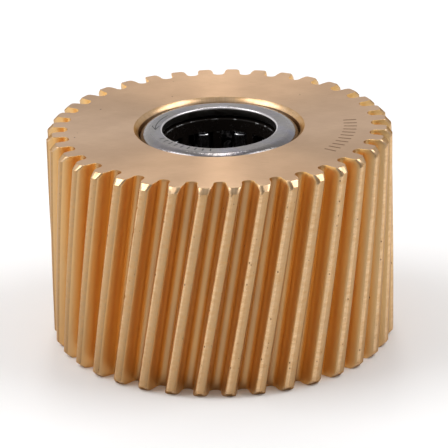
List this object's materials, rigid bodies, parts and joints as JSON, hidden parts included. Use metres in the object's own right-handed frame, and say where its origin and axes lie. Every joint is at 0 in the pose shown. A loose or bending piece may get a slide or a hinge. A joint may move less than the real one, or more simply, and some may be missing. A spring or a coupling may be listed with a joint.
{
  "type": "helical gear",
  "caption": "Wide bronze helical gear with a roller clutch pressed into one end of its bore and a needle bearing into the other, for a plain shaft.",
  "frame": {"origin": "on the gear's axis at its bottom face, the end that holds the needle bearing", "axes": "+Z along the gear's axis towards the end that holds the roller clutch; +X passes through the middle of a tooth space at the top face"},
  "size_m": [0.0386, 0.0386, 0.0245],
  "materials": {
    "bronze": "machined bronze, fine turning marks on the end faces and hobbed tooth flanks",
    "cup_steel": "deep-drawn and tumbled steel, satin",
    "roller_steel": "ground and polished bearing steel",
    "spring_steel": "rolled strip, satin",
    "cage_plastic": "black glass-filled nylon with a film of oil",
    "cage_steel": "pressed sheet steel, dull"
  },
  "bodies": {
    "gear": {"gear_body": "bronze", "clutch_cup": "cup_steel", "clutch_cage": "cage_plastic", "bearing_cup": "cup_steel", "clutch_spring_01": "spring_steel", "clutch_spring_02": "spring_steel", "clutch_spring_03": "spring_steel", "clutch_spring_04": "spring_steel", "clutch_spring_05": "spring_steel", "clutch_spring_06": "spring_steel", "clutch_spring_07": "spring_steel", "clutch_spring_08": "spring_steel", "clutch_spring_09": "spring_steel", "clutch_spring_10": "spring_steel"},
    "needle_cage": {"bearing_cage": "cage_steel"},
    "roller_01": {"clutch_roller_01": "roller_steel"},
    "roller_02": {"clutch_roller_02": "roller_steel"},
    "roller_03": {"clutch_roller_03": "roller_steel"},
    "roller_04": {"clutch_roller_04": "roller_steel"},
    "roller_05": {"clutch_roller_05": "roller_steel"},
    "roller_06": {"clutch_roller_06": "roller_steel"},
    "roller_07": {"clutch_roller_07": "roller_steel"},
    "roller_08": {"clutch_roller_08": "roller_steel"},
    "roller_09": {"clutch_roller_09": "roller_steel"},
    "roller_10": {"clutch_roller_10": "roller_steel"},
    "needle_01": {"bearing_needle_01": "roller_steel"},
    "needle_02": {"bearing_needle_02": "roller_steel"},
    "needle_03": {"bearing_needle_03": "roller_steel"},
    "needle_04": {"bearing_needle_04": "roller_steel"},
    "needle_05": {"bearing_needle_05": "roller_steel"},
    "needle_06": {"bearing_needle_06": "roller_steel"},
    "needle_07": {"bearing_needle_07": "roller_steel"},
    "needle_08": {"bearing_needle_08": "roller_steel"},
    "needle_09": {"bearing_needle_09": "roller_steel"},
    "needle_10": {"bearing_needle_10": "roller_steel"},
    "needle_11": {"bearing_needle_11": "roller_steel"},
    "needle_12": {"bearing_needle_12": "roller_steel"},
    "needle_13": {"bearing_needle_13": "roller_steel"},
    "needle_14": {"bearing_needle_14": "roller_steel"}
  },
  "joints": [
    {"name": "roller_01_spin", "type": "hinge", "parent": "gear", "child": "roller_01", "pos_m": [0.00583, 0.00393, 0.01634], "axis": [0, 0, 1], "continuous": true},
    {"name": "roller_02_spin", "type": "hinge", "parent": "gear", "child": "roller_02", "pos_m": [0.0024, 0.00661, 0.01634], "axis": [0, 0, 1], "continuous": true},
    {"name": "roller_03_spin", "type": "hinge", "parent": "gear", "child": "roller_03", "pos_m": [-0.00194, 0.00676, 0.01634], "axis": [0, 0, 1], "continuous": true},
    {"name": "roller_04_spin", "type": "hinge", "parent": "gear", "child": "roller_04", "pos_m": [-0.00554, 0.00433, 0.01634], "axis": [0, 0, 1], "continuous": true},
    {"name": "roller_05_spin", "type": "hinge", "parent": "gear", "child": "roller_05", "pos_m": [-0.00703, 0.00024, 0.01634], "axis": [0, 0, 1], "continuous": true},
    {"name": "roller_06_spin", "type": "hinge", "parent": "gear", "child": "roller_06", "pos_m": [-0.00583, -0.00393, 0.01634], "axis": [0, 0, 1], "continuous": true},
    {"name": "roller_07_spin", "type": "hinge", "parent": "gear", "child": "roller_07", "pos_m": [-0.0024, -0.00661, 0.01634], "axis": [0, 0, 1], "continuous": true},
    {"name": "roller_08_spin", "type": "hinge", "parent": "gear", "child": "roller_08", "pos_m": [0.00194, -0.00676, 0.01634], "axis": [0, 0, 1], "continuous": true},
    {"name": "roller_09_spin", "type": "hinge", "parent": "gear", "child": "roller_09", "pos_m": [0.00554, -0.00433, 0.01634], "axis": [0, 0, 1], "continuous": true},
    {"name": "roller_10_spin", "type": "hinge", "parent": "gear", "child": "roller_10", "pos_m": [0.00703, -0.00024, 0.01634], "axis": [0, 0, 1], "continuous": true},
    {"name": "needle_cage_turn", "type": "hinge", "parent": "gear", "child": "needle_cage", "pos_m": [0, 0, 0.00416], "axis": [0, 0, 1], "continuous": true},
    {"name": "needle_01_spin", "type": "hinge", "parent": "needle_cage", "child": "needle_01", "pos_m": [0.00703, 0, 0.00416], "axis": [0, 0, 1], "continuous": true},
    {"name": "needle_02_spin", "type": "hinge", "parent": "needle_cage", "child": "needle_02", "pos_m": [0.00633, 0.00305, 0.00416], "axis": [0, 0, 1], "continuous": true},
    {"name": "needle_03_spin", "type": "hinge", "parent": "needle_cage", "child": "needle_03", "pos_m": [0.00438, 0.0055, 0.00416], "axis": [0, 0, 1], "continuous": true},
    {"name": "needle_04_spin", "type": "hinge", "parent": "needle_cage", "child": "needle_04", "pos_m": [0.00156, 0.00685, 0.00416], "axis": [0, 0, 1], "continuous": true},
    {"name": "needle_05_spin", "type": "hinge", "parent": "needle_cage", "child": "needle_05", "pos_m": [-0.00156, 0.00685, 0.00416], "axis": [0, 0, 1], "continuous": true},
    {"name": "needle_06_spin", "type": "hinge", "parent": "needle_cage", "child": "needle_06", "pos_m": [-0.00438, 0.0055, 0.00416], "axis": [0, 0, 1], "continuous": true},
    {"name": "needle_07_spin", "type": "hinge", "parent": "needle_cage", "child": "needle_07", "pos_m": [-0.00633, 0.00305, 0.00416], "axis": [0, 0, 1], "continuous": true},
    {"name": "needle_08_spin", "type": "hinge", "parent": "needle_cage", "child": "needle_08", "pos_m": [-0.00703, 0, 0.00416], "axis": [0, 0, 1], "continuous": true},
    {"name": "needle_09_spin", "type": "hinge", "parent": "needle_cage", "child": "needle_09", "pos_m": [-0.00633, -0.00305, 0.00416], "axis": [0, 0, 1], "continuous": true},
    {"name": "needle_10_spin", "type": "hinge", "parent": "needle_cage", "child": "needle_10", "pos_m": [-0.00438, -0.0055, 0.00416], "axis": [0, 0, 1], "continuous": true},
    {"name": "needle_11_spin", "type": "hinge", "parent": "needle_cage", "child": "needle_11", "pos_m": [-0.00156, -0.00685, 0.00416], "axis": [0, 0, 1], "continuous": true},
    {"name": "needle_12_spin", "type": "hinge", "parent": "needle_cage", "child": "needle_12", "pos_m": [0.00156, -0.00685, 0.00416], "axis": [0, 0, 1], "continuous": true},
    {"name": "needle_13_spin", "type": "hinge", "parent": "needle_cage", "child": "needle_13", "pos_m": [0.00438, -0.0055, 0.00416], "axis": [0, 0, 1], "continuous": true},
    {"name": "needle_14_spin", "type": "hinge", "parent": "needle_cage", "child": "needle_14", "pos_m": [0.00633, -0.00305, 0.00416], "axis": [0, 0, 1], "continuous": true}
  ],
  "couplings": [
    {"joint": "roller_02_spin", "follows": "roller_01_spin", "ratio": 1},
    {"joint": "roller_03_spin", "follows": "roller_01_spin", "ratio": 1},
    {"joint": "roller_04_spin", "follows": "roller_01_spin", "ratio": 1},
    {"joint": "roller_05_spin", "follows": "roller_01_spin", "ratio": 1},
    {"joint": "roller_06_spin", "follows": "roller_01_spin", "ratio": 1},
    {"joint": "roller_07_spin", "follows": "roller_01_spin", "ratio": 1},
    {"joint": "roller_08_spin", "follows": "roller_01_spin", "ratio": 1},
    {"joint": "roller_09_spin", "follows": "roller_01_spin", "ratio": 1},
    {"joint": "roller_10_spin", "follows": "roller_01_spin", "ratio": 1},
    {"joint": "needle_01_spin", "follows": "needle_cage_turn", "ratio": -8.06},
    {"joint": "needle_02_spin", "follows": "needle_cage_turn", "ratio": -8.06},
    {"joint": "needle_03_spin", "follows": "needle_cage_turn", "ratio": -8.06},
    {"joint": "needle_04_spin", "follows": "needle_cage_turn", "ratio": -8.06},
    {"joint": "needle_05_spin", "follows": "needle_cage_turn", "ratio": -8.06},
    {"joint": "needle_06_spin", "follows": "needle_cage_turn", "ratio": -8.06},
    {"joint": "needle_07_spin", "follows": "needle_cage_turn", "ratio": -8.06},
    {"joint": "needle_08_spin", "follows": "needle_cage_turn", "ratio": -8.06},
    {"joint": "needle_09_spin", "follows": "needle_cage_turn", "ratio": -8.06},
    {"joint": "needle_10_spin", "follows": "needle_cage_turn", "ratio": -8.06},
    {"joint": "needle_11_spin", "follows": "needle_cage_turn", "ratio": -8.06},
    {"joint": "needle_12_spin", "follows": "needle_cage_turn", "ratio": -8.06},
    {"joint": "needle_13_spin", "follows": "needle_cage_turn", "ratio": -8.06},
    {"joint": "needle_14_spin", "follows": "needle_cage_turn", "ratio": -8.06}
  ]
}
